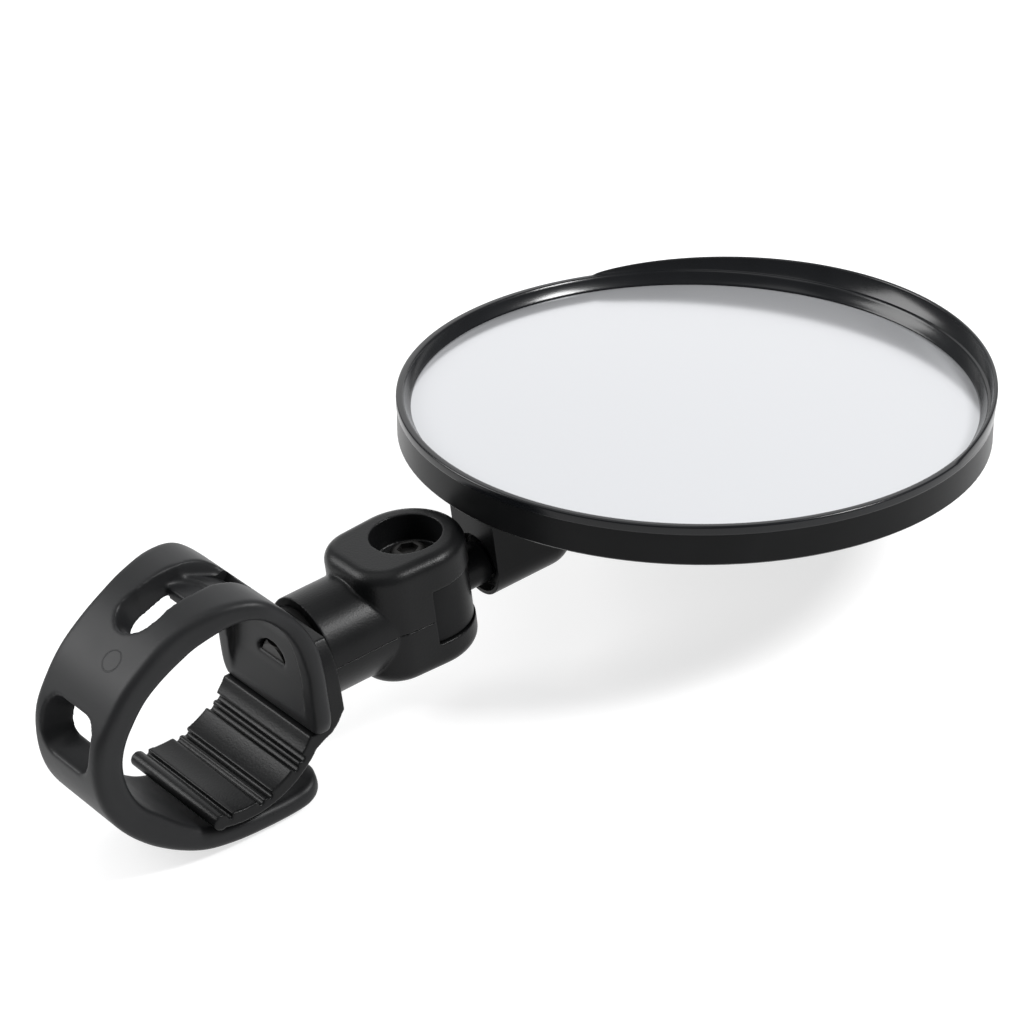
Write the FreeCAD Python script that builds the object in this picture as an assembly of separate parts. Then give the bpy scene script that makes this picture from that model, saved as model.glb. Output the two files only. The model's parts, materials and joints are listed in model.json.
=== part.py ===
"""Bicycle handlebar mirror: strap clamp, swivelling arm, pivoting neck and round convex mirror.

Millimetres, +Z up.  The origin is on the handlebar's axis (the Y axis) in the middle of the clamp.
+X runs along the arm towards the mirror.  The arm, neck and ball share one axis along X, a little
below the bar's axis.  The mirror head is built in its own frame and then tilted to its rest angle.
"""
import FreeCAD, Part
import math
import os

V = FreeCAD.Vector
X_AXIS = V(1, 0, 0)
Y_AXIS = V(0, 1, 0)
Z_AXIS = V(0, 0, 1)

# ---- driving dimensions -------------------------------------------------------------------------
BAR_R = 11.1            # 22.2 mm handlebar
ARM_Z = -0.9            # height of the arm's axis
FIT = 0.05              # radial clearance of a turning fit

# strap: angle around the bar, inner radius, outer radius, half width; 0 degrees points along +X
ROOT_SECTIONS = ((32, 13.6, 15.9, 10.4), (47, 14.1, 16.7, 10.1), (62, 14.6, 17.6, 10.2), (77, 12.0, 17.4, 9.5),
                 (92, 10.9, 16.6, 8.9), (107, 10.9, 15.6, 8.2), (124, 10.9, 15.3, 8.1))
FREE_SECTIONS = ((137, 10.9, 15.4, 8.0), (150, 10.9, 15.9, 7.9), (164, 10.9, 16.8, 7.7), (179, 10.9, 17.3, 7.6),
                 (193, 10.9, 17.3, 7.7), (207, 11.0, 17.0, 7.9), (222, 12.9, 16.6, 8.1), (238, 13.2, 16.6, 8.4),
                 (253, 13.5, 16.8, 8.6), (268, 13.8, 17.1, 8.8))
STRAP_PAD_X = (12.0, 14.6)
STRAP_PAD_Z = (-6.3, 8.9)
STRAP_PAD_HALF = 11.4
# scoop in the pad's face over the bolt's head: (x, z) down from the shoulder, and its half width
PAD_SCOOP = ((11.0, -5.6), (12.0, -5.2), (13.2, -1.0), (13.6, 1.5), (14.0, 4.2), (13.6, 6.4), (12.4, 8.3),
             (11.0, 9.4))
PAD_SCOOP_HALF = 8.4
TAIL_END_X = 13.8
TAIL_Z = (-17.5, -14.6)
TAIL_CORNER = 3.9
FLEX_ANGLE = 130.0      # where the strap bends when it is opened
FLEX_R = 13.2
FLEX_END_R = 1.95
FLEX_GAP = 0.35
TOP_SLOT = (58.0, 104.5, 3.4)       # angles of the round ends' centres, half width
SIDE_SLOT = (157.0, 178.5, 5.0)     # angles of the long edges, half width
SIDE_SLOT_CORNER = 1.6

# clamp base: round swivel plate and ribbed tongue
PLATE_X = (14.6, 17.0)
PLATE_R = 10.0
PLATE_TOP_Z = 5.1
BASE_HALF = 10.0
TONGUE_CENTRE = (1.5, 0.5)
TONGUE_R = (12.15, 13.95)
LANDS = ((-32.0, -46.0), (-56.5, -74.5), (-84.4, -102.3))
GROOVE_DEPTH = 0.75
RIB_R = 0.4
BEAD_R = 1.05
BEAD_ANGLE = -109.0
BEAD_CENTRE_R = 13.2

# swivel bolt, nut and washers on the arm's axis
BOLT_R = 1.5
HEX_FLATS = 5.5
BOLT_HEAD_X = (13.7, 15.7)
BOLT_END_X = 26.2
SWIVEL_WASHER_X = (17.0, 18.0)
SWIVEL_WASHER_R = 6.0
NUT_CAVITY_X = (20.9, 27.0)
NUT_CAVITY_R = 3.9
SPRING_WASHER_X = (21.0, 21.8)
SPRING_WASHER_R = 3.1
NUT_X = (21.8, 24.2)

# arm: barrel and knuckle, split into an upper and a lower shell
BARREL_R = 7.05
BARREL_X = 18.2
PEG_SPOT = (28.9, 5.0)  # locating pegs between the shells, either side of the arm's axis
PEG_R = 0.9
PEG_LENGTH = 2.2
KNUCKLE_X = 35.65       # the neck's pivot axis
KNUCKLE_FRONT_X = 35.3
KNUCKLE_R = 7.8
KNUCKLE_BACK_X = 25.3
KNUCKLE_BACK_HALF = 7.5
KNUCKLE_CORNER = 5.2
KNUCKLE_Z = (-8.4, 8.2)
EDGE_R = 1.9
RECESS_R = 4.75
RECESS_DEPTH = 4.0
WINDOW_Z = (-4.5, 3.5)
WINDOW_BACK_X = -2.0    # the window reaches this far behind the pivot's axis

# neck: pivot hub, stem and ball
HUB_R = 7.3
HUB_Z = (-4.45, 3.45)
HUB_SEAT = (4.7, 0.3)   # radius and depth of the washers' seats in the hub
HUB_POCKET_R = 7.4
PIVOT_WASHER_T = 0.35
PIVOT_WASHER_R = 4.6
STEM_R = 2.9
STEM_WAIST_R = 2.3
STEM_STEPS_X = (46.0, 46.7, 47.2, 48.0)
BALL_X = 50.4
BALL_R = 2.75
BALL_STEM_R = 1.5

# pivot screw and nut
PIVOT_SCREW_R = 1.5
PIVOT_HEAD_R = 2.45
PIVOT_HEAD_H = 1.4
HEAD_WASHER_R = 3.3
HEAD_WASHER_T = 0.4
SOCKET_FLATS = 2.5
PIVOT_NUT_H = 2.6

# ball cup, retaining ring and socket boss
CUP_R = 3.3
CUP_MOUTH_X = 48.55
BOSS_X = 45.8
BOSS_END_X = 55.6
BOSS_HALF = 4.65
MOUTH_R = 3.75
MOUTH_CHAMFER = 0.4
RETAINER_X = (46.9, 48.35)
RETAINER_HOLE_R = (3.5, 2.7)

# mirror head, in its own frame: origin at the middle of the glass's edge plane, +Z out of the glass
HEAD_CENTRE = V(83.55, 0, 7.64)
HEAD_TILT = 7.1         # about Y, away from the arm's axis
HEAD_ROLL = 0.65        # about the arm's axis: the head rests slightly turned on its ball joint
HEAD_R = 40.0
LIP_H = 1.25
PARTING_H = 0.0
WALL_BOTTOM_H = -4.3
DOME_DEPTH = 6.4
SHELL_T = 1.6
GLASS_R = 38.3
GLASS_H = -0.6          # height of the glass's edge
VIEW_R = 38.0
GLASS_T = 1.6
GLASS_SPHERE_R = 420.0
PAD_R = 36.0
PAD_T = 0.6
SEAT_H = GLASS_H - GLASS_T - PAD_T - 0.1
HOOD_RISE = 2.75
HOOD_SPAN = 72.0
HOOD_FLARE = 0.35
HOOD_T = 0.6


# ---- helpers ------------------------------------------------------------------------------------
def polar(radius, degrees, centre=(0.0, 0.0), y=0.0):
    """A point in the XZ plane from a radius and an angle."""
    a = math.radians(degrees)
    return V(centre[0] + radius * math.cos(a), y, centre[1] + radius * math.sin(a))


def cylinder(radius, start, end):
    """A cylinder from one point to another."""
    return Part.makeCylinder(radius, (end - start).Length, start, end - start)


def cone(r1, r2, start, end):
    return Part.makeCone(r1, r2, (end - start).Length, start, end - start)


def on_arm(x):
    """A point on the arm's axis."""
    return V(x, 0, ARM_Z)


def arm_tube(outer, inner, x0, x1):
    tube = cylinder(outer, on_arm(x0), on_arm(x1))
    return tube.cut(cylinder(inner, on_arm(x0 - 1), on_arm(x1 + 1)))


def box(x, y, z):
    """A box from three (low, high) pairs."""
    return Part.makeBox(x[1] - x[0], y[1] - y[0], z[1] - z[0], V(x[0], y[0], z[0]))


def prism(points, depth, closed_edges=None):
    """A flat outline pushed along a vector."""
    edges = closed_edges or Part.makePolygon(list(points) + [points[0]]).Edges
    return Part.Face(Part.Wire(edges)).extrude(depth)


def hexagon(flats, start, end, turn=0.0):
    """A hexagonal bar from one point to another."""
    axis = end - start
    axis_dir = V(axis).normalize()
    side = Y_AXIS if abs(axis_dir.y) < 0.9 else X_AXIS
    up = axis_dir.cross(side)
    corner = flats / math.sqrt(3)
    angles = [math.radians(60 * k + turn) for k in range(6)]
    points = [start + side * (corner * math.cos(a)) + up * (corner * math.sin(a)) for a in angles]
    return prism(points, axis)


def ring_sector(r0, r1, a0, a1, centre, y0, y1):
    """A stretch of a ring around an axis along Y."""
    mid = (a0 + a1) / 2
    p = [polar(r, a, centre, y0) for r in (r0, r1) for a in (a0, mid, a1)]
    edges = [Part.Arc(p[0], p[1], p[2]).toShape(), Part.LineSegment(p[2], p[5]).toShape(),
             Part.Arc(p[5], p[4], p[3]).toShape(), Part.LineSegment(p[3], p[0]).toShape()]
    return Part.Face(Part.Wire(edges)).extrude(V(0, y1 - y0, 0))


def revolved(points):
    """A solid turned around Z from an outline in the XZ plane."""
    face = Part.Face(Part.makePolygon(list(points) + [points[0]]))
    return face.revolve(V(0, 0, 0), Z_AXIS, 360)


def one_solid(shape):
    """The single solid in a shape."""
    shape = shape.removeSplitter()
    solids = shape.Solids
    if len(solids) != 1:
        solids = sorted(solids, key=lambda s: s.Volume)
        print("  pieces:", [round(s.Volume, 2) for s in solids])
    return solids[-1]


def to_head(shape):
    """Move a shape from the mirror head's frame to the part's frame."""
    shape = shape.copy()
    turn = FreeCAD.Rotation(X_AXIS, HEAD_ROLL).multiply(FreeCAD.Rotation(Y_AXIS, HEAD_TILT))
    shape.Placement = FreeCAD.Placement(HEAD_CENTRE, turn)
    return shape


# ---- strap --------------------------------------------------------------------------------------
def section(angle, r_in, r_out, half):
    corners = [polar(r_in, angle, y=-half), polar(r_out, angle, y=-half),
               polar(r_out, angle, y=half), polar(r_in, angle, y=half)]
    return Part.makePolygon(corners + [corners[0]])


def band(sections):
    """A band of changing thickness and width around the bar."""
    return Part.makeLoft([section(*s) for s in sections], True, False)


def round_slot(a0, a1, half):
    """The space of one long slot with round ends, cut from the bar's side outwards."""
    slot = ring_sector(9.0, 20.0, a0, a1, (0, 0), -half, half)
    for angle in (a0, a1):
        slot = slot.fuse(cylinder(half, polar(9.0, angle), polar(20.0, angle)))
    return slot


def cross_slot(a0, a1, half):
    """The space of one short, wide slot with rounded corners."""
    slot = ring_sector(9.0, 20.0, a0, a1, (0, 0), -half, half)
    corners = [e for e in slot.Edges if e.Length > 10.9 and e.BoundBox.YLength < 0.01]
    return slot.makeFillet(SIDE_SLOT_CORNER, corners)


def bar_space():
    return cylinder(BAR_R, V(0, -20, 0), V(0, 20, 0))


def strap_root_band():
    """Flat root pad inside the clamp base, and the strap's run over the top of the bar."""
    pad = box(STRAP_PAD_X, (-STRAP_PAD_HALF, STRAP_PAD_HALF), STRAP_PAD_Z)
    corner = 3.5
    low_edges = [e for e in pad.Edges if e.BoundBox.XLength > 2 and e.BoundBox.ZMax < 0]
    pad = pad.makeFillet(corner, low_edges)
    shoulder_pts = [V(STRAP_PAD_X[0], 0, 6.0), V(STRAP_PAD_X[1], 0, 6.0), polar(15.9, 32), polar(16.7, 47),
                    polar(14.1, 47), V(STRAP_PAD_X[0], 0, 7.2)]
    shoulder = prism([p + V(0, -10.0, 0) for p in shoulder_pts], V(0, 20.0, 0))
    body = pad.fuse(shoulder).fuse(band(ROOT_SECTIONS))
    body = body.cut(bar_space())
    body = body.cut(round_slot(*TOP_SLOT))
    scoop = [V(x, -PAD_SCOOP_HALF, z) for x, z in PAD_SCOOP]
    body = body.cut(prism(scoop, V(0, 2 * PAD_SCOOP_HALF, 0)))
    body = body.cut(cylinder(3.4, on_arm(BOLT_HEAD_X[0] - 0.1), on_arm(15)))
    flex = polar(FLEX_R, FLEX_ANGLE)
    back = polar(1.0, FLEX_ANGLE + 90)
    cut_from = flex - back * (FLEX_END_R + FLEX_GAP)
    radial = polar(1.0, FLEX_ANGLE)
    cutter = [cut_from - radial * 8, cut_from + radial * 8, cut_from + radial * 8 + back * 12,
              cut_from - radial * 8 + back * 12]
    body = body.cut(prism([p - V(0, 12, 0) for p in cutter], V(0, 24, 0)))
    return one_solid(body)


def strap_free_band():
    """The strap from its flex line round the left and under the bar to its free tail."""
    flex = polar(FLEX_R, FLEX_ANGLE)
    body = band(FREE_SECTIONS)
    start = section(*FREE_SECTIONS[0])
    half = FREE_SECTIONS[0][3]
    end_roll = cylinder(FLEX_END_R, flex - V(0, half, 0), flex + V(0, half, 0))
    first = [v.Point for v in start.Vertexes]
    lead = [V(p.x, -half, p.z) for p in first[:2]]
    radial = polar(1.0, FLEX_ANGLE)
    lead += [V(flex.x, -half, flex.z) + radial * FLEX_END_R, V(flex.x, -half, flex.z) - radial * FLEX_END_R]
    body = body.fuse(prism(lead, V(0, 2 * half, 0))).fuse(end_roll)
    last = FREE_SECTIONS[-1]
    tail_half = last[3]
    inner = polar(last[1], last[0], y=-tail_half)
    outer = polar(last[2], last[0], y=-tail_half)
    tail_pts = [outer, V(TAIL_END_X - 4.0, -tail_half, TAIL_Z[0]), V(TAIL_END_X - 0.4, -tail_half, TAIL_Z[0] + 0.7),
                V(TAIL_END_X, -tail_half, TAIL_Z[0] + 1.4), V(TAIL_END_X, -tail_half, TAIL_Z[1] + 0.4),
                V(TAIL_END_X - 0.5, -tail_half, TAIL_Z[1] + 0.7), V(TAIL_END_X - 4.5, -tail_half, TAIL_Z[1]), inner]
    tail = prism(tail_pts, V(0, 2 * tail_half, 0))
    for side in (-1, 1):
        corner = V(TAIL_END_X + 0.1, side * (tail_half + 0.1), 0)
        wedge = [corner - X_AXIS * TAIL_CORNER, corner, corner - Y_AXIS * (side * TAIL_CORNER)]
        tail = tail.cut(prism([p + Z_AXIS * TAIL_Z[0] - Z_AXIS for p in wedge], V(0, 0, 6)))
    body = body.fuse(tail)
    body = body.cut(bar_space())
    body = body.cut(cross_slot(*SIDE_SLOT))
    return one_solid(body)


# ---- clamp base ---------------------------------------------------------------------------------
def clamp_base():
    """Round swivel plate that carries the strap's root, and the ribbed tongue under the bar."""
    plate = cylinder(PLATE_R, on_arm(PLATE_X[0]), on_arm(PLATE_X[1]))
    plate = plate.cut(box((10, 20), (-12, 12), (PLATE_TOP_Z, 20)))
    plate = plate.cut(box((10, 20), (-12, 12), (-20, -5.0)))
    plate = plate.fuse(box(PLATE_X, (-BASE_HALF, BASE_HALF), (-5.0, ARM_Z)))
    y0 = -BASE_HALF
    tongue_low = LANDS[-1][1] - 3.0
    tongue = ring_sector(TONGUE_R[0], TONGUE_R[1], tongue_low, LANDS[0][0], TONGUE_CENTRE, y0, BASE_HALF)
    inner_end = polar(TONGUE_R[0], LANDS[0][0], TONGUE_CENTRE, y0)
    outer_end = polar(TONGUE_R[1], LANDS[0][0] - 8.0, TONGUE_CENTRE, y0)
    shelf_pts = [inner_end, V(PLATE_X[0], y0, -4.8), V(PLATE_X[1], y0, -4.8), V(PLATE_X[1] - 1.1, y0, -6.3),
                 V(PLATE_X[1] - 2.2, y0, -7.3), V(13.5, y0, -7.8), outer_end, polar(TONGUE_R[0], LANDS[0][0] - 8.0, TONGUE_CENTRE, y0)]
    body = plate.fuse(prism(shelf_pts, V(0, 2 * BASE_HALF, 0))).fuse(tongue)
    body = body.cut(box((9, PLATE_X[0]), (-12, 12), (STRAP_PAD_Z[0] - 0.02, 10)))
    grooves = [(LANDS[k][1], LANDS[k + 1][0]) for k in range(len(LANDS) - 1)]
    grooves.append((LANDS[-1][1], tongue_low))
    for high, low in grooves:
        body = body.cut(ring_sector(TONGUE_R[0] - 2, TONGUE_R[0] + GROOVE_DEPTH, low, high, TONGUE_CENTRE,
                                    y0 - 1, BASE_HALF + 1))
    for high, low in grooves[:-1]:
        rib = polar(TONGUE_R[0] + GROOVE_DEPTH, (low + high) / 2, TONGUE_CENTRE, y0)
        body = body.fuse(cylinder(RIB_R, rib, rib + V(0, 2 * BASE_HALF, 0)))
    bead = polar(BEAD_CENTRE_R, BEAD_ANGLE, TONGUE_CENTRE, y0)
    body = body.fuse(cylinder(BEAD_R, bead, bead + V(0, 2 * BASE_HALF, 0)))
    body = body.cut(hexagon(HEX_FLATS + 0.1, on_arm(12), on_arm(BOLT_HEAD_X[1])))
    body = body.cut(cylinder(BOLT_R + FIT, on_arm(10), on_arm(20)))
    return one_solid(body)


def swivel_bolt():
    """Hexagon-head bolt held in the clamp base; the arm turns on its shank."""
    head = hexagon(HEX_FLATS, on_arm(BOLT_HEAD_X[0]), on_arm(BOLT_HEAD_X[1]))
    crown = cone(2.7, 3.3, on_arm(BOLT_HEAD_X[0]), on_arm(BOLT_HEAD_X[0] + 0.5))
    rest = cylinder(3.3, on_arm(BOLT_HEAD_X[0] + 0.5), on_arm(BOLT_HEAD_X[1]))
    head = head.common(crown.fuse(rest))
    shank = cylinder(BOLT_R, on_arm(BOLT_HEAD_X[1] - 0.5), on_arm(BOLT_END_X - 0.4))
    tip = cone(BOLT_R, BOLT_R - 0.4, on_arm(BOLT_END_X - 0.4), on_arm(BOLT_END_X))
    return one_solid(head.fuse(shank).fuse(tip))


def swivel_nut():
    nut = hexagon(HEX_FLATS, on_arm(NUT_X[0]), on_arm(NUT_X[1]))
    return one_solid(nut.cut(cylinder(BOLT_R, on_arm(NUT_X[0] - 1), on_arm(NUT_X[1] + 1))))


def spring_washer():
    """Split spring washer that keeps the swivel tight."""
    ring = arm_tube(SPRING_WASHER_R, BOLT_R + FIT, *SPRING_WASHER_X)
    split = box((SPRING_WASHER_X[0] - 1, SPRING_WASHER_X[1] + 1), (-0.3, 0.3), (0, 6))
    return one_solid(ring.cut(split))


# ---- arm ----------------------------------------------------------------------------------------
def knuckle_block():
    """Upright block with a round front, a flatter back with round corners, and rounded rims."""
    low = KNUCKLE_Z[0]
    front = V(KNUCKLE_FRONT_X, 0, low)
    corner = V(KNUCKLE_BACK_X + KNUCKLE_CORNER, KNUCKLE_BACK_HALF - KNUCKLE_CORNER, low)
    reach = corner - front
    a = math.atan2(reach.y, reach.x) - math.acos((KNUCKLE_R - KNUCKLE_CORNER) / reach.Length)
    half_turn = (a + math.pi) / 2
    edges = []
    for side in (1, -1):
        normal = V(math.cos(a), side * math.sin(a), 0)
        between = V(math.cos(half_turn), side * math.sin(half_turn), 0)
        middle = V(corner.x, side * corner.y, low)
        edges.append(Part.LineSegment(front + normal * KNUCKLE_R, middle + normal * KNUCKLE_CORNER).toShape())
        edges.append(Part.Arc(middle + normal * KNUCKLE_CORNER, middle + between * KNUCKLE_CORNER,
                              middle - X_AXIS * KNUCKLE_CORNER).toShape())
    up = V(math.cos(a), math.sin(a), 0) * KNUCKLE_R
    down = V(up.x, -up.y, 0)
    edges.append(Part.LineSegment(V(KNUCKLE_BACK_X, corner.y, low), V(KNUCKLE_BACK_X, -corner.y, low)).toShape())
    edges.append(Part.Arc(front + down, front + X_AXIS * KNUCKLE_R, front + up).toShape())
    outline = Part.Wire(Part.__sortEdges__(edges))
    block = Part.Face(outline).extrude(V(0, 0, KNUCKLE_Z[1] - KNUCKLE_Z[0]))
    rims = [e for e in block.Edges if e.BoundBox.ZLength < 0.01]
    return block.makeFillet(EDGE_R, rims)


def arm_body():
    """Barrel and knuckle before they are split into two shells."""
    body = knuckle_block().fuse(cylinder(BARREL_R, on_arm(BARREL_X), on_arm(KNUCKLE_BACK_X + KNUCKLE_CORNER)))
    pivot = V(KNUCKLE_X, 0, 0)
    bottom, top = KNUCKLE_Z
    body = body.cut(cylinder(RECESS_R, pivot + Z_AXIS * (top - RECESS_DEPTH), pivot + Z_AXIS * (top + 1)))
    body = body.cut(box((KNUCKLE_X + WINDOW_BACK_X, KNUCKLE_X + 12), (-12, 12), WINDOW_Z))
    body = body.cut(cylinder(HUB_POCKET_R, pivot + Z_AXIS * WINDOW_Z[0], pivot + Z_AXIS * WINDOW_Z[1]))
    body = body.cut(cylinder(PIVOT_SCREW_R + FIT, pivot + Z_AXIS * bottom, pivot + Z_AXIS * top))
    body = body.cut(hexagon(HEX_FLATS + 0.1, pivot + Z_AXIS * (bottom - 1), pivot + Z_AXIS * (bottom + PIVOT_NUT_H)))
    body = body.cut(cylinder(NUT_CAVITY_R, on_arm(NUT_CAVITY_X[0]), on_arm(NUT_CAVITY_X[1])))
    body = body.cut(cylinder(BOLT_R + FIT, on_arm(BARREL_X - 1), on_arm(NUT_CAVITY_X[0] + 1)))
    return body


def locating_pegs(radius, length):
    pegs = [cylinder(radius, V(PEG_SPOT[0], side * PEG_SPOT[1], ARM_Z + 0.5),
                     V(PEG_SPOT[0], side * PEG_SPOT[1], ARM_Z - length)) for side in (-1, 1)]
    return pegs[0].fuse(pegs[1])


def arm_shell(upper):
    body = arm_body()
    if upper:
        body = body.common(box((0, 60), (-20, 20), (ARM_Z, 30)))
        return one_solid(body.fuse(locating_pegs(PEG_R, PEG_LENGTH)))
    body = body.common(box((0, 60), (-20, 20), (-30, ARM_Z)))
    return one_solid(body.cut(locating_pegs(PEG_R + FIT, PEG_LENGTH + 0.2)))


def pivot_screw():
    """Pan-head screw with a hexagon socket, through the knuckle and the neck's hub."""
    pivot = V(KNUCKLE_X, 0, 0)
    floor = KNUCKLE_Z[1] - RECESS_DEPTH + HEAD_WASHER_T
    bottom = KNUCKLE_Z[0] + 0.3
    head = cylinder(PIVOT_HEAD_R, pivot + Z_AXIS * floor, pivot + Z_AXIS * (floor + PIVOT_HEAD_H))
    rim = [e for e in head.Edges if e.BoundBox.ZMin > floor + PIVOT_HEAD_H - 0.1 and e.BoundBox.ZLength < 0.1]
    head = head.makeFillet(PIVOT_HEAD_H * 0.6, rim)
    shank = cylinder(PIVOT_SCREW_R, pivot + Z_AXIS * bottom, pivot + Z_AXIS * (floor + 0.5))
    body = head.fuse(shank)
    socket_from = pivot + Z_AXIS * (floor + 0.7)
    body = body.cut(hexagon(SOCKET_FLATS, socket_from, socket_from + Z_AXIS * 5))
    return one_solid(body)


def head_washer():
    """Flat washer under the pivot screw's head."""
    low = V(KNUCKLE_X, 0, KNUCKLE_Z[1] - RECESS_DEPTH)
    ring = cylinder(HEAD_WASHER_R, low, low + Z_AXIS * HEAD_WASHER_T)
    return one_solid(ring.cut(cylinder(PIVOT_SCREW_R + FIT, low - Z_AXIS, low + Z_AXIS * 2)))


def pivot_nut():
    pivot = V(KNUCKLE_X, 0, KNUCKLE_Z[0])
    low = pivot + Z_AXIS * 0.2
    high = pivot + Z_AXIS * PIVOT_NUT_H
    nut = hexagon(HEX_FLATS, low, high)
    return one_solid(nut.cut(cylinder(PIVOT_SCREW_R, low - Z_AXIS, high + Z_AXIS)))


def pivot_washers():
    """Friction washers above and below the neck's hub."""
    rings = []
    for low in (WINDOW_Z[1] - PIVOT_WASHER_T, WINDOW_Z[0]):
        start = V(KNUCKLE_X, 0, low)
        ring = cylinder(PIVOT_WASHER_R, start, start + Z_AXIS * PIVOT_WASHER_T)
        rings.append(ring.cut(cylinder(PIVOT_SCREW_R + FIT, start - Z_AXIS, start + Z_AXIS * 2)))
    return Part.makeCompound(rings)


# ---- neck and ball joint ------------------------------------------------------------------------
def neck():
    """Pivot hub, stem and ball in one piece."""
    hub_low = V(KNUCKLE_X, 0, HUB_Z[0])
    hub_high = V(KNUCKLE_X, 0, HUB_Z[1])
    body = cylinder(HUB_R, hub_low, hub_high)
    rims = [e for e in body.Edges if e.BoundBox.ZLength < 0.01]
    body = body.makeFillet(0.15, rims)
    seat_r, seat_depth = HUB_SEAT
    body = body.cut(cylinder(seat_r, hub_low - Z_AXIS, hub_low + Z_AXIS * seat_depth))
    body = body.cut(cylinder(seat_r, hub_high - Z_AXIS * seat_depth, hub_high + Z_AXIS))
    steps = [on_arm(x) for x in STEM_STEPS_X]
    body = body.fuse(cylinder(STEM_R, on_arm(KNUCKLE_X + 4), steps[0]))
    body = body.fuse(cone(STEM_R, STEM_WAIST_R, steps[0], steps[1]))
    body = body.fuse(cylinder(STEM_WAIST_R, steps[1], steps[2]))
    body = body.fuse(cone(STEM_WAIST_R, BALL_STEM_R, steps[2], steps[3]))
    body = body.fuse(cylinder(BALL_STEM_R, steps[3], on_arm(BALL_X)))
    body = body.fuse(Part.makeSphere(BALL_R, on_arm(BALL_X)))
    body = body.cut(cylinder(PIVOT_SCREW_R + FIT, hub_low - Z_AXIS, hub_high + Z_AXIS))
    return one_solid(body)


def ball_cup():
    """Slit spherical nylon cup that grips the ball and swivels in the housing's boss."""
    body = Part.makeSphere(CUP_R, on_arm(BALL_X))
    body = body.cut(Part.makeSphere(BALL_R + FIT, on_arm(BALL_X)))
    body = body.cut(cylinder(CUP_R + 1, on_arm(BALL_X - 5), on_arm(CUP_MOUTH_X)))
    for width, depth in (((-0.3, 0.3), (-6, 6)), ((-6, 6), (-0.3, 0.3))):
        slit_z = (ARM_Z + depth[0], ARM_Z + depth[1])
        body = body.cut(box((CUP_MOUTH_X - 1, BALL_X + 1.0), width, slit_z))
    return one_solid(body)


def cup_retainer():
    """Ring pressed into the boss's mouth in front of the ball cup."""
    ring = arm_tube(MOUTH_R, RETAINER_HOLE_R[1], *RETAINER_X)
    flare = cone(RETAINER_HOLE_R[0], RETAINER_HOLE_R[1], on_arm(RETAINER_X[0]), on_arm(RETAINER_X[1] - 0.4))
    return one_solid(ring.cut(flare))


# ---- mirror head --------------------------------------------------------------------------------
def dome_height(radius, bottom):
    """Height of the back dome at a distance from its middle."""
    return bottom - DOME_DEPTH * (1 - (radius / (HEAD_R - 1.2)) ** 2)


def mirror_housing():
    """Round wall, domed back and the boss for the ball joint."""
    steps = [k * 3.88 for k in range(11)]
    outer = [V(r, 0, dome_height(r, WALL_BOTTOM_H)) for r in steps[:-1]]
    wall = [V(HEAD_R - 1.2, 0, WALL_BOTTOM_H), V(HEAD_R - 0.35, 0, WALL_BOTTOM_H),
            V(HEAD_R - 0.1, 0, WALL_BOTTOM_H + 0.25), V(HEAD_R - 0.1, 0, PARTING_H), V(HEAD_R - 1.5, 0, PARTING_H),
            V(HEAD_R - 1.5, 0, SEAT_H), V(PAD_R - 1.0, 0, SEAT_H)]
    inner = [V(r, 0, dome_height(r, WALL_BOTTOM_H) + SHELL_T) for r in reversed(steps[:9])]
    shell = to_head(revolved(outer + wall + inner))
    boss = box((BOSS_X, BOSS_END_X), (-BOSS_HALF, BOSS_HALF), (ARM_Z, 12))
    boss = boss.fuse(cylinder(BOSS_HALF, on_arm(BOSS_X), on_arm(BOSS_END_X)))
    boss = boss.fuse(Part.makeSphere(BOSS_HALF, on_arm(BOSS_END_X)))
    boss = boss.fuse(cylinder(BOSS_HALF, on_arm(BOSS_END_X), V(BOSS_END_X, 0, 12)))
    inside_pts = [V(0, 0, 20), V(HEAD_R - 2, 0, 20), V(HEAD_R - 2, 0, WALL_BOTTOM_H + 1.0)]
    inside_pts += [V(r, 0, dome_height(r, WALL_BOTTOM_H) + SHELL_T / 2) for r in reversed(steps[:10])]
    boss = boss.cut(to_head(revolved(inside_pts)))
    body = shell.fuse(boss)
    body = body.cut(Part.makeSphere(CUP_R + FIT, on_arm(BALL_X)))
    body = body.cut(cylinder(CUP_R + FIT, on_arm(RETAINER_X[1] - 0.1), on_arm(BALL_X)))
    body = body.cut(cylinder(MOUTH_R, on_arm(BOSS_X - 1), on_arm(RETAINER_X[1])))
    body = body.cut(cone(MOUTH_R + MOUTH_CHAMFER, MOUTH_R, on_arm(BOSS_X - 0.05), on_arm(RETAINER_X[0])))
    return one_solid(body)


def hood_height(degrees):
    """How far the hood rises above the lip, at an angle from the side away from the arm."""
    return HOOD_RISE * math.cos(math.radians(90 * degrees / HOOD_SPAN)) ** 0.65


def hood():
    """Crescent-shaped brow on the lip's far side."""
    count = 13
    rings = []
    for k in range(count):
        degrees = -HOOD_SPAN + 2 * HOOD_SPAN * k / (count - 1)
        rise = hood_height(degrees) + 0.15 if abs(degrees) < HOOD_SPAN - 0.1 else 0.15
        a = math.radians(degrees)
        out = V(math.cos(a), math.sin(a), 0)
        flare = HOOD_FLARE * rise / HOOD_RISE
        low = LIP_H - 0.6
        corners = [out * (HEAD_R - HOOD_T) + Z_AXIS * low, out * (HEAD_R - 0.06) + Z_AXIS * low,
                   out * (HEAD_R + flare) + Z_AXIS * (LIP_H + rise),
                   out * (HEAD_R - HOOD_T + flare) + Z_AXIS * (LIP_H + rise)]
        rings.append(Part.makePolygon(corners + [corners[0]]))
    return Part.makeLoft(rings, True, False)


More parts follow.
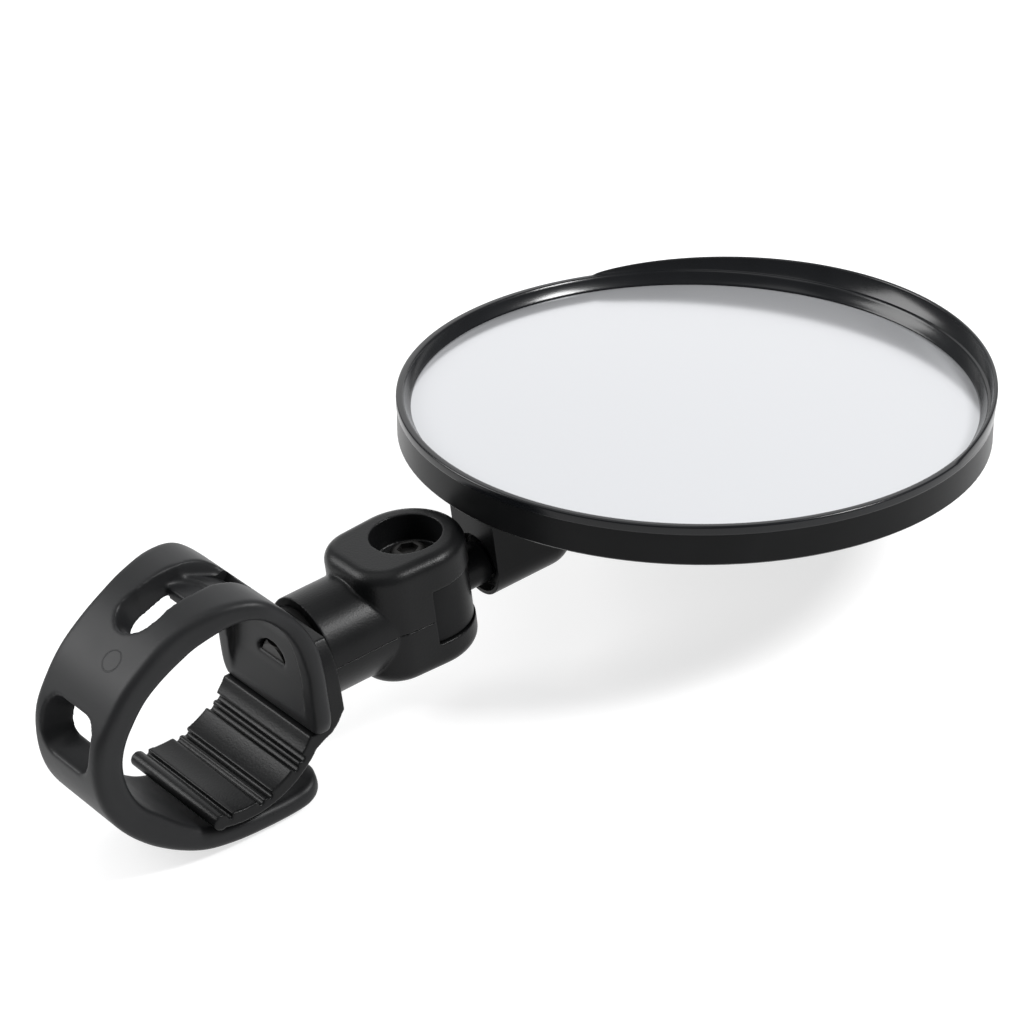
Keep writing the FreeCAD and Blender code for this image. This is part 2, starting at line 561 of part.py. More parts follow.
def bezel_ring():
    """Lip that holds the glass, with the hood on the far side."""
    under = GLASS_H + 0.1
    profile = [V(HEAD_R - 0.1, 0, PARTING_H), V(HEAD_R, 0, PARTING_H + 0.25), V(HEAD_R, 0, LIP_H - 0.35),
               V(HEAD_R - 0.35, 0, LIP_H), V(HEAD_R - 0.85, 0, LIP_H), V(HEAD_R - 1.15, 0, LIP_H - 0.35),
               V(VIEW_R, 0, under + 0.2), V(VIEW_R, 0, under), V(HEAD_R - 1.5, 0, under),
               V(HEAD_R - 1.5, 0, PARTING_H)]
    ring = revolved(profile)
    return one_solid(to_head(ring.fuse(hood())))


def glass_profile(radius, sphere, top_shift):
    """Height of a spherical face that reaches zero at the glass's edge."""
    edge = math.sqrt(sphere ** 2 - GLASS_R ** 2)
    return math.sqrt(sphere ** 2 - radius ** 2) - edge + top_shift


def dished_disc(radius, sphere, top_shift, thickness):
    """A disc with parallel spherical faces."""
    def point(r, drop):
        return V(r, 0, glass_profile(r, sphere, top_shift) - drop)
    edges = [Part.Arc(point(0, 0), point(radius / 2, 0), point(radius, 0)).toShape(),
             Part.LineSegment(point(radius, 0), point(radius, thickness)).toShape(),
             Part.Arc(point(radius, thickness), point(radius / 2, thickness), point(0, thickness)).toShape(),
             Part.LineSegment(point(0, thickness), point(0, 0)).toShape()]
    face = Part.Face(Part.Wire(edges))
    return one_solid(to_head(face.revolve(V(0, 0, 0), Z_AXIS, 360)))


def mirror_glass():
    return dished_disc(GLASS_R, GLASS_SPHERE_R, GLASS_H, GLASS_T)


def glass_pad():
    """Foam pad that beds the glass in the housing."""
    return dished_disc(PAD_R, GLASS_SPHERE_R, GLASS_H - GLASS_T, PAD_T)


# ---- write the nodes ----------------------------------------------------------------------------
NODES = {
    "clamp_base": clamp_base,
    "strap_root_band": strap_root_band,
    "strap_free_band": strap_free_band,
    "swivel_bolt": swivel_bolt,
    "swivel_washer": lambda: arm_tube(SWIVEL_WASHER_R, BOLT_R + FIT, *SWIVEL_WASHER_X),
    "spring_washer": spring_washer,
    "swivel_nut": swivel_nut,
    "arm_upper_shell": lambda: arm_shell(True),
    "arm_lower_shell": lambda: arm_shell(False),
    "pivot_screw": pivot_screw,
    "head_washer": head_washer,
    "pivot_nut": pivot_nut,
    "pivot_washers": pivot_washers,
    "neck": neck,
    "ball_cup": ball_cup,
    "cup_retainer": cup_retainer,
    "mirror_housing": mirror_housing,
    "bezel_ring": bezel_ring,
    "mirror_glass": mirror_glass,
    "glass_pad": glass_pad,
}

os.makedirs("parts", exist_ok=True)
for name, build in NODES.items():
    shape = build()
    print(name, "solids", len(shape.Solids), "volume", round(shape.Volume, 1), "valid", shape.isValid())
    shape.exportStep("parts/" + name + ".step")
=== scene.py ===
"""Looks of the bicycle handlebar mirror: materials, light, and its moulded pieces in detail."""

import json
import math

import bmesh
import bpy
from mathutils import Matrix, Vector


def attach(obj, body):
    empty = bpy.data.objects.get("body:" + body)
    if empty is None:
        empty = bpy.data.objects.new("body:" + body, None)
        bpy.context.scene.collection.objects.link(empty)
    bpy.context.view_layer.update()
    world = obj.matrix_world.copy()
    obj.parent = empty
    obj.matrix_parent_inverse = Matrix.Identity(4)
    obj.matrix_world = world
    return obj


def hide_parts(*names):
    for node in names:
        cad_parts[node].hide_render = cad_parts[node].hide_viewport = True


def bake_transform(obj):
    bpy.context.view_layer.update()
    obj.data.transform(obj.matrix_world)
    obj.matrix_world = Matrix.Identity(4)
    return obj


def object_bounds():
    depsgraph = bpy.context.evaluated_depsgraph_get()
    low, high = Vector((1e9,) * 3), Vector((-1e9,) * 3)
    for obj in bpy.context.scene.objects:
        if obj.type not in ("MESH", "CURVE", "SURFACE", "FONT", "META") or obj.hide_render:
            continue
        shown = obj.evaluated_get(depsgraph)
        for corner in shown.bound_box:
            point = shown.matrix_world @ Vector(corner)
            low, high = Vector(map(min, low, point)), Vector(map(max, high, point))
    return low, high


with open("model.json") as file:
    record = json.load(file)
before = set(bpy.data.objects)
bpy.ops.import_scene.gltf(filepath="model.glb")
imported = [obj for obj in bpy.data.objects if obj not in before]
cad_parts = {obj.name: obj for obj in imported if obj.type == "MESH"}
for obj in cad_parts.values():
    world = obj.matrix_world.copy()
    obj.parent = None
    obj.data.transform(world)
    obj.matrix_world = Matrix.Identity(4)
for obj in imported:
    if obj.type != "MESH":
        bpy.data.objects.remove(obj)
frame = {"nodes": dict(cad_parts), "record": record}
CAD_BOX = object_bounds()
NODES = frame["nodes"]
MM = 0.001

# ---- camera ---------------------------------------------------------------------------------------
# It looks down by 31 degrees from the front left, a little rolled. The three axes are unit vectors.
CAMERA_PLACE = (-0.16768, -0.33667, 0.24584)
CAMERA_RIGHT = (0.79241, -0.59928, -0.11380)
CAMERA_UP = (0.39067, 0.35533, 0.84918)
CAMERA_BACK = (-0.46846, -0.71736, 0.51569)
CAMERA_LENS = 126.5625
CAMERA_SENSOR = 36
CAMERA_CLIP_START = 0.01


def make_camera():
    data = bpy.data.cameras.new("camera")
    data.lens = CAMERA_LENS
    data.sensor_width = CAMERA_SENSOR
    data.clip_start = CAMERA_CLIP_START
    camera = bpy.data.objects.new("camera", data)
    columns = [Vector(v) for v in (CAMERA_RIGHT, CAMERA_UP, CAMERA_BACK)]
    turn = Matrix(columns).transposed().to_4x4()
    camera.matrix_world = Matrix.Translation(CAMERA_PLACE) @ turn
    bpy.context.scene.collection.objects.link(camera)
    bpy.context.scene.camera = camera


# ---- light and floor ------------------------------------------------------------------------------
WORLD_COLOUR = (0.94, 0.95, 0.97, 1)
WORLD_STRENGTH = 0.36
# name, place, point that it faces, width and height in metres, power in watts
AREA_LIGHTS = (
    ("top", (-0.06, 0.06, 0.65), (0.03, 0, 0), (0.60, 0.50), 1.2),
    ("sheen", (-0.30, 0.40, 0.35), (0, 0, 0), (0.30, 0.30), 2.7),
    ("key", (0.33, -0.33, 0.38), (0.03, 0, 0), (0.12, 0.12), 3.4),
    ("back", (0.61, 0.65, 0.35), (0.084, 0, 0), (1.0, 0.9), 2.8),
)
FLOOR_GAP = 0.4 * MM    # between the floor and the object's lowest point
FLOOR_HALF = 3.0


def area_light(name, place, target, size, power):
    data = bpy.data.lights.new(name, "AREA")
    data.shape = "RECTANGLE"
    data.size, data.size_y = size
    data.energy = power
    light = bpy.data.objects.new(name, data)
    light.location = place
    aim = Vector(target) - Vector(place)
    light.rotation_mode = "QUATERNION"
    light.rotation_quaternion = aim.to_track_quat("-Z", "Y")
    bpy.context.scene.collection.objects.link(light)


def make_light():
    world = bpy.data.worlds.new("studio")
    world.use_nodes = True
    background = world.node_tree.nodes["Background"]
    background.inputs["Color"].default_value = WORLD_COLOUR
    background.inputs["Strength"].default_value = WORLD_STRENGTH
    bpy.context.scene.world = world
    for light in AREA_LIGHTS:
        area_light(*light)


def make_floor(material):
    low = CAD_BOX[0].z - FLOOR_GAP
    side = FLOOR_HALF
    corners = [(-side, -side, low), (side, -side, low), (side, side, low), (-side, side, low)]
    mesh = bpy.data.meshes.new("floor")
    mesh.from_pydata(corners, [], [(0, 1, 2, 3)])
    mesh.materials.append(material)
    floor = bpy.data.objects.new("floor", mesh)
    bpy.context.scene.collection.objects.link(floor)


# ---- materials ------------------------------------------------------------------------------------
CLOUD_SCALE = 160       # per metre: patches of tone about 6 mm across
GLOSS_SPREAD = 0.04     # how far the roughness strays either way
HAZE_SCALE = 60
WEAR_SCALE = 900


def new_material(name):
    material = bpy.data.materials.new(name)
    material.use_nodes = True
    nodes = material.node_tree.nodes
    return material, nodes, material.node_tree.links, nodes["Principled BSDF"]


def plastic(name, dark, light, roughness, grain_mm, grain_depth_mm, specular, rest_coords=False):
    """Moulded plastic or rubber: a slightly uneven tone and a fine grain.

    With rest_coords the pattern is laid out on the mesh's attribute "rest", so that it stays in
    its place on rubber that bends.
    """
    material, nodes, links, shader = new_material(name)
    if rest_coords:
        coords = nodes.new("ShaderNodeAttribute")
        coords.attribute_name = "rest"
        place = coords.outputs["Vector"]
    else:
        place = nodes.new("ShaderNodeTexCoord").outputs["Object"]
    cloud = nodes.new("ShaderNodeTexNoise")
    cloud.inputs["Scale"].default_value = CLOUD_SCALE
    cloud.inputs["Detail"].default_value = 3
    tone = nodes.new("ShaderNodeValToRGB")
    tone.color_ramp.elements[0].position = 0.3
    tone.color_ramp.elements[0].color = (*dark, 1)
    tone.color_ramp.elements[1].position = 0.7
    tone.color_ramp.elements[1].color = (*light, 1)
    grain = nodes.new("ShaderNodeTexNoise")
    grain.inputs["Scale"].default_value = 1.0 / (grain_mm * MM)
    grain.inputs["Detail"].default_value = 2
    bump = nodes.new("ShaderNodeBump")
    bump.inputs["Strength"].default_value = 1.0
    bump.inputs["Distance"].default_value = grain_depth_mm * MM
    gloss = nodes.new("ShaderNodeMapRange")
    gloss.inputs["To Min"].default_value = roughness - GLOSS_SPREAD
    gloss.inputs["To Max"].default_value = roughness + GLOSS_SPREAD
    links.new(place, cloud.inputs["Vector"])
    links.new(place, grain.inputs["Vector"])
    links.new(cloud.outputs["Fac"], tone.inputs["Fac"])
    links.new(tone.outputs["Color"], shader.inputs["Base Color"])
    links.new(cloud.outputs["Fac"], gloss.inputs["Value"])
    links.new(gloss.outputs["Result"], shader.inputs["Roughness"])
    links.new(grain.outputs["Fac"], bump.inputs["Height"])
    links.new(bump.outputs["Normal"], shader.inputs["Normal"])
    shader.inputs["Specular IOR Level"].default_value = specular
    return material


def add_witness_ring(material, centre, radius, width, depth):
    """A fine circular mark moulded into a surface, centred on a point of the piece at rest (mm)."""
    nodes, links = material.node_tree.nodes, material.node_tree.links
    rest = next(n for n in nodes if n.bl_idname == "ShaderNodeAttribute")
    bump = next(n for n in nodes if n.bl_idname == "ShaderNodeBump")
    reach = nodes.new("ShaderNodeVectorMath")
    reach.operation = "DISTANCE"
    reach.inputs[1].default_value = [c * MM for c in centre]
    ring = nodes.new("ShaderNodeValToRGB")
    ring.color_ramp.interpolation = "EASE"
    scale = nodes.new("ShaderNodeMapRange")
    scale.inputs["From Max"].default_value = 2 * radius * MM
    reach_of_groove = width / (2 * radius)
    stops = ((0.0, 1.0), (0.5 - reach_of_groove, 1.0), (0.5, 0.0), (0.5 + reach_of_groove, 1.0))
    while len(ring.color_ramp.elements) < len(stops):
        ring.color_ramp.elements.new(0.5)
    for element, (position, value) in zip(ring.color_ramp.elements, stops):
        element.position = position
        element.color = (value, value, value, 1)
    groove = nodes.new("ShaderNodeBump")
    groove.inputs["Strength"].default_value = 1.0
    groove.inputs["Distance"].default_value = depth * MM
    shader = nodes["Principled BSDF"]
    links.new(rest.outputs["Vector"], reach.inputs[0])
    links.new(reach.outputs["Value"], scale.inputs["Value"])
    links.new(scale.outputs["Result"], ring.inputs["Fac"])
    links.new(ring.outputs["Color"], groove.inputs["Height"])
    links.new(bump.outputs["Normal"], groove.inputs["Normal"])
    links.new(groove.outputs["Normal"], shader.inputs["Normal"])


def silvered_glass():
    material, nodes, links, shader = new_material("silvered_glass")
    coords = nodes.new("ShaderNodeTexCoord")
    haze = nodes.new("ShaderNodeTexNoise")
    haze.inputs["Scale"].default_value = HAZE_SCALE
    spread = nodes.new("ShaderNodeMapRange")
    spread.inputs["To Min"].default_value = 0.14
    spread.inputs["To Max"].default_value = 0.18
    links.new(coords.outputs["Object"], haze.inputs["Vector"])
    links.new(haze.outputs["Fac"], spread.inputs["Value"])
    links.new(spread.outputs["Result"], shader.inputs["Roughness"])
    shader.inputs["Base Color"].default_value = (0.53, 0.538, 0.552, 1)
    shader.inputs["Metallic"].default_value = 0.6
    return material


def dark_metal():
    material, nodes, links, shader = new_material("dark_steel")
    coords = nodes.new("ShaderNodeTexCoord")
    wear = nodes.new("ShaderNodeTexNoise")
    wear.inputs["Scale"].default_value = WEAR_SCALE
    tone = nodes.new("ShaderNodeValToRGB")
    tone.color_ramp.elements[0].color = (0.010, 0.010, 0.0095, 1)
    tone.color_ramp.elements[1].color = (0.024, 0.023, 0.022, 1)
    links.new(coords.outputs["Object"], wear.inputs["Vector"])
    links.new(wear.outputs["Fac"], tone.inputs["Fac"])
    links.new(tone.outputs["Color"], shader.inputs["Base Color"])
    shader.inputs["Metallic"].default_value = 0.8
    shader.inputs["Roughness"].default_value = 0.42
    return material


def floor_material():
    material, _, _, shader = new_material("pale_floor")
    shader.inputs["Base Color"].default_value = (0.42, 0.42, 0.42, 1)
    shader.inputs["Roughness"].default_value = 0.9
    shader.inputs["Specular IOR Level"].default_value = 0.05
    shader.inputs["Emission Color"].default_value = (1, 1, 1, 1)
    shader.inputs["Emission Strength"].default_value = 0.68
    return material


MATERIALS = {
    "textured_plastic": plastic("textured_plastic", (0.0036, 0.0038, 0.004), (0.0052, 0.0054, 0.0057),
                                roughness=0.36, grain_mm=0.25, grain_depth_mm=0.02, specular=0.16),
    "satin_plastic": plastic("satin_plastic", (0.0042, 0.0044, 0.0046), (0.0058, 0.006, 0.0063),
                             roughness=0.32, grain_mm=0.15, grain_depth_mm=0.005, specular=0.10),
    "gloss_rim": plastic("gloss_rim", (0.003, 0.0034, 0.0042), (0.0045, 0.005, 0.006),
                         roughness=0.2, grain_mm=0.3, grain_depth_mm=0.002, specular=0.3),
    "strap_rubber": plastic("strap_rubber", (0.009, 0.0093, 0.0099), (0.0112, 0.0115, 0.0122),
                            roughness=0.46, grain_mm=0.12, grain_depth_mm=0.004, specular=0.2,
                            rest_coords=True),
    "dark_steel": dark_metal(),
    "washer_nylon": plastic("washer_nylon", (0.003, 0.003, 0.003), (0.005, 0.005, 0.005),
                            roughness=0.55, grain_mm=0.2, grain_depth_mm=0.005, specular=0.06),
    "silvered_glass": silvered_glass(),
    "foam_pad": plastic("foam_pad", (0.02, 0.02, 0.02), (0.03, 0.03, 0.03),
                        roughness=0.9, grain_mm=0.3, grain_depth_mm=0.05, specular=0.2),
}


def dress(obj, slot):
    obj.data.materials.clear()
    obj.data.materials.append(MATERIALS[slot])


# ---- mesh helpers (millimetres until finish_piece) -------------------------------------------------
def mesh_object(name, points, faces):
    mesh = bpy.data.meshes.new(name)
    mesh.from_pydata([tuple(p) for p in points], [], faces)
    mesh.validate()
    bm = bmesh.new()
    bm.from_mesh(mesh)
    bmesh.ops.recalc_face_normals(bm, faces=bm.faces)
    bm.to_mesh(mesh)
    bm.free()
    obj = bpy.data.objects.new(name, mesh)
    bpy.context.scene.collection.objects.link(obj)
    return obj


def rings_object(name, rings, capped=True):
    """A closed skin over rings of equally many points: capped at its ends, or joined end to end."""
    count = len(rings[0])
    last = (len(rings) - 1) * count
    points = [p for ring in rings for p in ring]
    faces = []
    for k in range(len(rings) - 1):
        for i in range(count):
            j = (i + 1) % count
            faces.append((k * count + i, k * count + j, (k + 1) * count + j, (k + 1) * count + i))
    if capped:
        faces.append(tuple(reversed(range(count))))
        faces.append(tuple(range(last, last + count)))
    else:
        for i in range(count):
            j = (i + 1) % count
            faces.append((last + i, last + j, j, i))
    return mesh_object(name, points, faces)


def bake(obj):
    """Apply an object's modifiers to its mesh."""
    bpy.context.view_layer.update()
    evaluated = obj.evaluated_get(bpy.context.evaluated_depsgraph_get())
    mesh = bpy.data.meshes.new_from_object(evaluated)
    obj.modifiers.clear()
    obj.data = mesh


def cut_away(obj, cutter):
    boolean = obj.modifiers.new("cut", "BOOLEAN")
    boolean.operation = "DIFFERENCE"
    boolean.solver = "EXACT"
    boolean.object = cutter
    bake(obj)
    bpy.data.objects.remove(cutter)


def soften(obj, voxel, rounds):
    """Rebuild a mesh in even steps and round its edges, as moulded rubber and plastic have them."""
    remesh = obj.modifiers.new("even", "REMESH")
    remesh.mode = "VOXEL"
    remesh.voxel_size = voxel
    smooth = obj.modifiers.new("round", "SMOOTH")
    smooth.factor = 0.5
    smooth.iterations = rounds
    bake(obj)


def finish_piece(obj, slot, sharp_degrees=40):
    """Millimetres to metres, smooth shading and a material."""
    obj.data.transform(Matrix.Scale(MM, 4))
    for polygon in obj.data.polygons:
        polygon.use_smooth = True
    obj.data.set_sharp_from_angle(angle=math.radians(sharp_degrees))
    dress(obj, slot)


def spline(values, t):
    """A smooth run through evenly spaced rows of numbers, at t between 0 and their count less one."""
    k = min(int(t), len(values) - 2)
    f = t - k
    rows = [values[max(k - 1, 0)], values[k], values[k + 1], values[min(k + 2, len(values) - 1)]]
    out = []
    for a, b, c, d in zip(*rows):
        slope = c - a
        bend = 2 * a - 5 * b + 4 * c - d
        twist = 3 * b - a - 3 * c + d
        out.append(0.5 * (2 * b + slope * f + bend * f * f + twist * f ** 3))
    return out


def polar(radius, degrees, y=0.0):
    """A point about the bar's axis, with the angle counted from +X towards +Z."""
    a = math.radians(degrees)
    return Vector((radius * math.cos(a), y, radius * math.sin(a)))


def rounded_rectangle(half_width, half_height, radius, corner_steps):
    """Points round a rectangle with rounded corners, as (across, up)."""
    points = []
    for quarter in range(4):
        side = 1 if quarter in (0, 3) else -1
        rise = 1 if quarter in (0, 1) else -1
        for k in range(corner_steps + 1):
            a = math.radians(90 * quarter + 90 / corner_steps * k)
            across = side * (half_width - radius) + radius * math.cos(a)
            up = rise * (half_height - radius) + radius * math.sin(a)
            points.append((across, up))
    return points


# ---- strap ----------------------------------------------------------------------------------------
# outer x, outer z, inner x, inner z, half width, from the root pad round to the free tail
STRAP = (
    (14.6, -6.3, 12.1, -6.3, 10.6), (14.6, -4.6, 12.1, -4.6, 11.3), (14.6, -1.0, 12.2, -1.0, 11.4),
    (14.6, 2.4, 12.3, 2.2, 11.4), (14.4, 5.8, 12.0, 5.2, 11.3), (13.4, 8.9, 11.4, 7.8, 11.0),
    (11.4, 12.3, 10.2, 10.2, 10.6), (8.1, 15.6, 7.5, 12.9, 10.6), (4.0, 16.7, 4.2, 13.6, 9.9),
    (-0.5, 16.3, -0.5, 12.4, 8.9), (-4.4, 15.0, -3.2, 11.0, 8.3), (-8.0, 13.0, -5.9, 9.7, 8.2),
    (-11.2, 10.7, -8.3, 8.1, 8.1), (-13.8, 7.9, -10.3, 6.0, 8.0), (-16.2, 4.4, -12.1, 3.2, 7.8),
    (-17.15, 0.3, -12.9, 0.2, 7.6), (-16.8, -4.1, -12.7, -3.2, 7.7), (-15.1, -8.0, -11.5, -6.2, 7.9),
    (-12.3, -11.4, -9.3, -8.6, 8.2), (-8.8, -14.1, -6.8, -11.1, 8.5), (-4.9, -16.1, -4.0, -13.1, 8.7),
    (-0.5, -17.05, -0.5, -14.1, 8.8), (4.0, -17.4, 4.0, -14.6, 8.8), (8.4, -17.4, 8.4, -14.7, 8.8),
    (11.0, -17.15, 11.0, -14.4, 8.6), (12.8, -16.7, 12.7, -14.1, 7.5), (13.75, -16.1, 13.65, -14.2, 5.4))
STRAP_STEPS = 8             # rings from one row to the next
STRAP_EDGE_R = 1.1
STRAP_EDGE_STEPS = 5
STRAP_VOXEL = 0.25
STRAP_ROUNDS = 7

# slots: from and to (degrees about the bar's axis), half width, corner radius
TOP_SLOT = (87.3, 114.2, 3.35, 3.35)
TOP_GROOVE = (66, 112.5, 3.2, 3.2)
TOP_SHALLOW = (50, 80, 3.2, 2.0)
SIDE_WINDOW = (157.5, 178.0, 4.7, 2.0)
# how much each slot is widened at each distance from the bar's axis, as (distance, amount)
TOP_SLOT_LEVELS = ((8, 0), (14.5, 0.0), (21, 1.0))
TOP_GROOVE_LEVELS = ((15.0, 0), (21, 1.0))
TOP_SHALLOW_LEVELS = ((15.9, 0), (21, 1.0))
SIDE_WINDOW_LEVELS = ((8, 0), (13.0, 0.0), (14.9, 0.5), (16.3, 0.8), (18, 1.0))
SLOT_LENGTH_R = 15.5        # distance from the bar's axis at which a slot has its length
SLOT_CORNER_STEPS = 8

# sharp-edged cuts: from and to (degrees), inner radius, outer radius, half width
TOP_OPENING = (80.5, 96, 8, 15, 3.2)
TOP_STEP = (49, 62, 15.7, 20, 2.9)
SECTOR_STEPS = 6

# the hollow in the pad's face over the bolt's head, from below to above
PAD_SCOOP = ((10.5, -5.6), (12.0, -5.2), (13.2, -1.0), (13.6, 1.5), (14.0, 4.2), (13.8, 6.4), (12.4, 8.6),
             (10.5, 10.3))
PAD_SCOOP_HALF = 8.4
BOLT_SEAT_X = 12.0
BOLT_SEAT_R = 3.35
BOLT_SEAT_DEPTH = 3.5
ARM_Z = -0.9


def strap_ring(row):
    """A rounded rectangle across the strap."""
    outer = Vector((row[0], 0, row[1]))
    inner = Vector((row[2], 0, row[3]))
    middle = (outer + inner) / 2
    up = (outer - inner).normalized()
    thick = (outer - inner).length / 2
    radius = min(STRAP_EDGE_R, 0.85 * thick)
    outline = rounded_rectangle(row[4], thick, radius, STRAP_EDGE_STEPS)
    return [middle + up * h + Vector((0, y, 0)) for y, h in outline]


def slot_rings(a0, a1, half, corner, levels):
    """Cutter for a slot between two angles: a rounded rectangle that grows by an amount at each radius."""
    middle = math.radians((a0 + a1) / 2)
    rings = []
    for radius, grow in levels:
        length = math.radians(a1 - a0) / 2 * SLOT_LENGTH_R + grow
        width = half + grow
        outline = rounded_rectangle(length, width, min(corner + grow, width, length), SLOT_CORNER_STEPS)
        rings.append([polar(radius, math.degrees(middle + along / SLOT_LENGTH_R), y) for along, y in outline])
    return rings


def sector(a0, a1, r0, r1, half):
    """A sharp-edged block around the bar's axis."""
    rings = []
    for k in range(SECTOR_STEPS + 1):
        a = a0 + (a1 - a0) * k / SECTOR_STEPS
        rings.append([polar(r0, a, -half), polar(r1, a, -half), polar(r1, a, half), polar(r0, a, half)])
    return rings


def pad_scoop_rings():
    half = Vector((0, PAD_SCOOP_HALF, 0))
    scoop = [Vector((x, 0, z)) for x, z in PAD_SCOOP]
    return [[p - half for p in scoop], [p + half for p in scoop]]


def bolt_seat_rings():
    """The half-round seat over the upper half of the bolt's head."""
    seat = []
    for degrees in range(20, 161, 10):
        a = math.radians(degrees)
        seat.append(Vector((BOLT_SEAT_X, BOLT_SEAT_R * math.cos(a), ARM_Z + BOLT_SEAT_R * math.sin(a))))
    return [seat, [p + Vector((BOLT_SEAT_DEPTH, 0, 0)) for p in seat]]


def make_strap():
    last = (len(STRAP) - 1) * STRAP_STEPS
    strap = rings_object("strap", [strap_ring(spline(STRAP, k / STRAP_STEPS)) for k in range(last + 1)])
    for name, rings in (("slot", slot_rings(*TOP_SLOT, TOP_SLOT_LEVELS)),
                        ("opening", sector(*TOP_OPENING)),
                        ("groove", slot_rings(*TOP_GROOVE, TOP_GROOVE_LEVELS)),
                        ("shallow", slot_rings(*TOP_SHALLOW, TOP_SHALLOW_LEVELS)),
                        ("window", slot_rings(*SIDE_WINDOW, SIDE_WINDOW_LEVELS)),
                        ("scoop", pad_scoop_rings()),
                        ("seat", bolt_seat_rings())):
        cut_away(strap, rings_object(name, rings))
    soften(strap, STRAP_VOXEL, STRAP_ROUNDS)
    cut_away(strap, rings_object("step", sector(*TOP_STEP)))
    finish_piece(strap, "strap_rubber")
    rest = strap.data.attributes.new("rest", "FLOAT_VECTOR", "POINT")
    rest.data.foreach_set("vector", [c for v in strap.data.vertices for c in v.co])
    return strap


# ---- mirror head ----------------------------------------------------------------------------------
HEAD_CENTRE = Vector((83.55, 0, 7.64))
HEAD_TILT = 7.1
HEAD_ROLL = 0.65
HEAD_R = 39.99
LIP_H = 1.25
VIEW_R = 38.0               # the lip's inner edge, over the rim of the glass
BEZEL_SEAT_R = 38.45
HOOD_RISE = 2.75
HOOD_SPAN = 72.0            # degrees either way from the head's far end
HOOD_FADE = 0.65
HOOD_FLARE = 0.35
GLASS_H = -0.6
GLASS_R = 38.3
GLASS_T = 1.6
GLASS_SPHERE_R = 420.0
GLASS_EDGE = 0.1            # the fine ground edge
GLASS_MIDDLE_R = 0.02       # the innermost ring, so small that its cap doesn't show
GLASS_RINGS = 24


def head_point(radius, degrees, height):
    a = math.radians(degrees)
    turn = Matrix.Rotation(math.radians(HEAD_ROLL), 3, "X") @ Matrix.Rotation(math.radians(HEAD_TILT), 3, "Y")
    return HEAD_CENTRE + turn @ Vector((radius * math.cos(a), radius * math.sin(a), height))


def hood_rise(degrees):
    """How far the hood stands above the lip; it fades out smoothly at its ends."""
    reach = abs(degrees) / HOOD_SPAN
    return HOOD_RISE * math.cos(math.radians(90 * reach)) ** HOOD_FADE if reach < 1 else 0.0


def bezel_profile(rise):
    """Radius and height round the bezel's section, where its hood stands rise above the lip."""
    out = HEAD_R + HOOD_FLARE * rise / HOOD_RISE
    top = LIP_H + rise
    dip = min(0.2, 0.5 * rise)
    return ((HEAD_R - 0.1, 0.0), (HEAD_R, 0.12), (HEAD_R, 0.25),
            (HEAD_R + (out - HEAD_R) * 0.3, 0.3 + (top - 0.6) * 0.3),
            (out, top - 0.30), (out - 0.04, top - 0.12), (out - 0.13, top - 0.03), (out - 0.25, top),
            (out - 0.40, top), (out - 0.50, top - 0.4 * dip), (out - 0.56, top - dip),
            (HEAD_R - 0.62, LIP_H + 0.3 * dip), (HEAD_R - 0.72, LIP_H), (HEAD_R - 0.88, LIP_H - 0.02),
            (HEAD_R - 1.02, LIP_H - 0.12), (HEAD_R - 1.12, LIP_H - 0.38),
            (VIEW_R + 0.16, -0.22), (VIEW_R + 0.04, -0.34), (VIEW_R, -0.5),
            (BEZEL_SEAT_R, -0.5), (BEZEL_SEAT_R, 0.0))


def make_bezel():
    """The rim round the glass, a closed ring whose hood rises at the head's far end."""
    rings = []
    for degrees in range(-180, 180):
        rings.append([head_point(r, degrees, h) for r, h in bezel_profile(hood_rise(degrees))])
    bezel = rings_object("bezel_lip", rings, capped=False)
    finish_piece(bezel, "gloss_rim", 50)
    return bezel


def glass_height(radius):
    edge = math.sqrt(GLASS_SPHERE_R ** 2 - GLASS_R ** 2)
    return math.sqrt(GLASS_SPHERE_R ** 2 - radius ** 2) - edge + GLASS_H


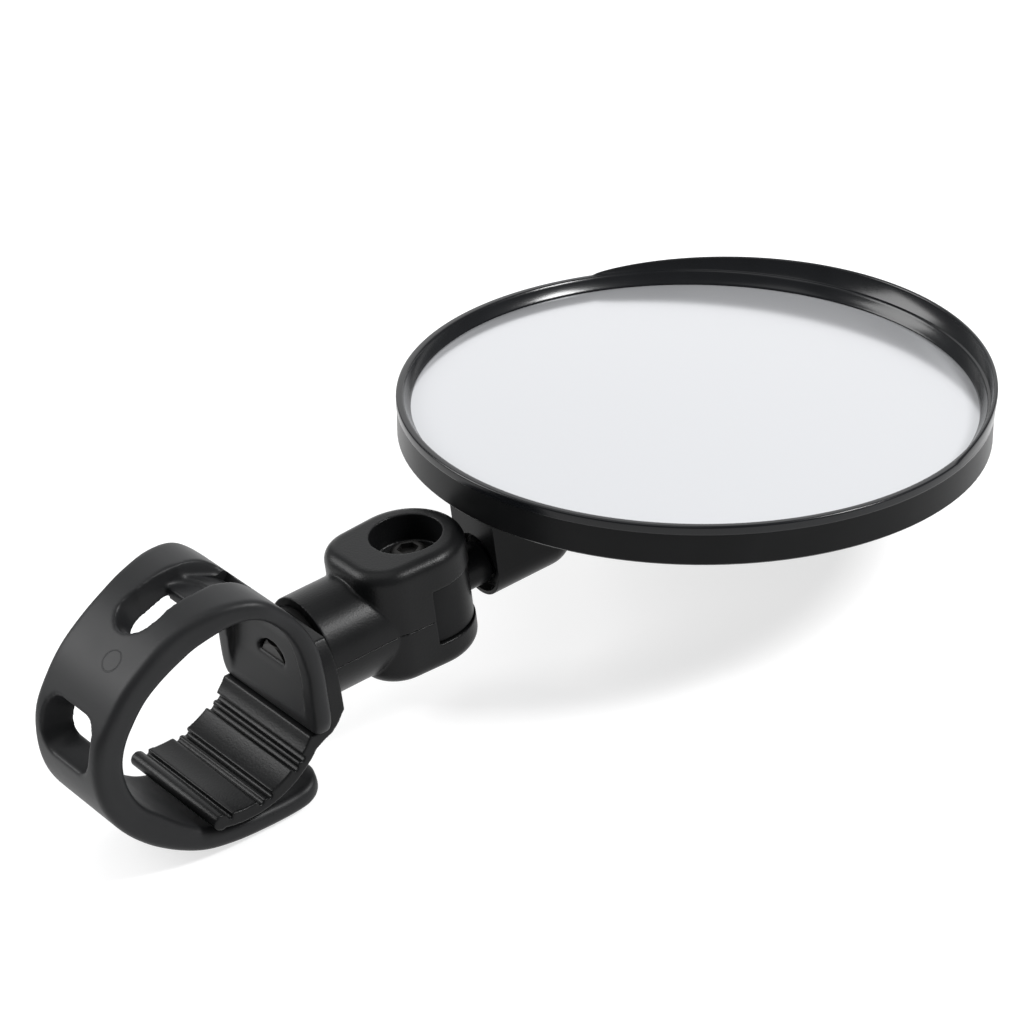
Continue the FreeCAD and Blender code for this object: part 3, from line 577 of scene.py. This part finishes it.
def make_glass():
    """Convex disc with a fine ground edge."""
    radii = [GLASS_MIDDLE_R] + [GLASS_R * k / GLASS_RINGS for k in range(1, GLASS_RINGS)]
    outline = [(r, glass_height(r)) for r in radii]
    outline += [(GLASS_R - GLASS_EDGE, glass_height(GLASS_R - GLASS_EDGE)), (GLASS_R, GLASS_H - GLASS_EDGE),
                (GLASS_R, GLASS_H - GLASS_T)]
    outline += [(r, glass_height(r) - GLASS_T) for r in reversed(radii)]
    rings = [[head_point(r, degrees, h) for degrees in range(0, 360, 3)] for r, h in outline]
    glass = rings_object("mirror_face", rings)
    finish_piece(glass, "silvered_glass", 30)
    return glass


# ---- hard moulded pieces ---------------------------------------------------------------------------
WELD_DISTANCE = 0.001
# node, body, voxel size, rounds of smoothing
MOULDED = (("arm_upper_shell", "arm", 0.16, 2), ("arm_lower_shell", "arm", 0.16, 2),
           ("clamp_base", "clamp", 0.18, 2))


def moulded(node, voxel, rounds, slot):
    """A copy of a CAD node whose sharp edges are rounded as moulding leaves them."""
    mesh = NODES[node].data.copy()
    mesh.transform(Matrix.Scale(1 / MM, 4))
    obj = bpy.data.objects.new(node + "_moulded", mesh)
    bpy.context.scene.collection.objects.link(obj)
    weld = obj.modifiers.new("weld", "WELD")
    weld.merge_threshold = WELD_DISTANCE
    bake(obj)
    soften(obj, voxel, rounds)
    finish_piece(obj, slot, 60)
    return obj


# ---- the whole model -------------------------------------------------------------------------------
for part in frame["record"]["subparts"]:
    dress(NODES[part["node"]], part["material_slot"])

strap = make_strap()
add_witness_ring(MATERIALS["strap_rubber"], centre=polar(15.5, 128, -2.4), radius=1.5, width=0.16, depth=0.03)
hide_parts("strap_root_band", "strap_free_band")
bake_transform(strap)

bezel = make_bezel()
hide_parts("bezel_ring")
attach(bezel, "head")
glass = make_glass()
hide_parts("mirror_glass")
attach(glass, "head")

for node, body, voxel, rounds in MOULDED:
    piece = moulded(node, voxel, rounds, "textured_plastic")
    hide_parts(node)
    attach(piece, body)

make_camera()
make_light()
make_floor(floor_material())
bpy.context.scene.view_settings.view_transform = "Standard"
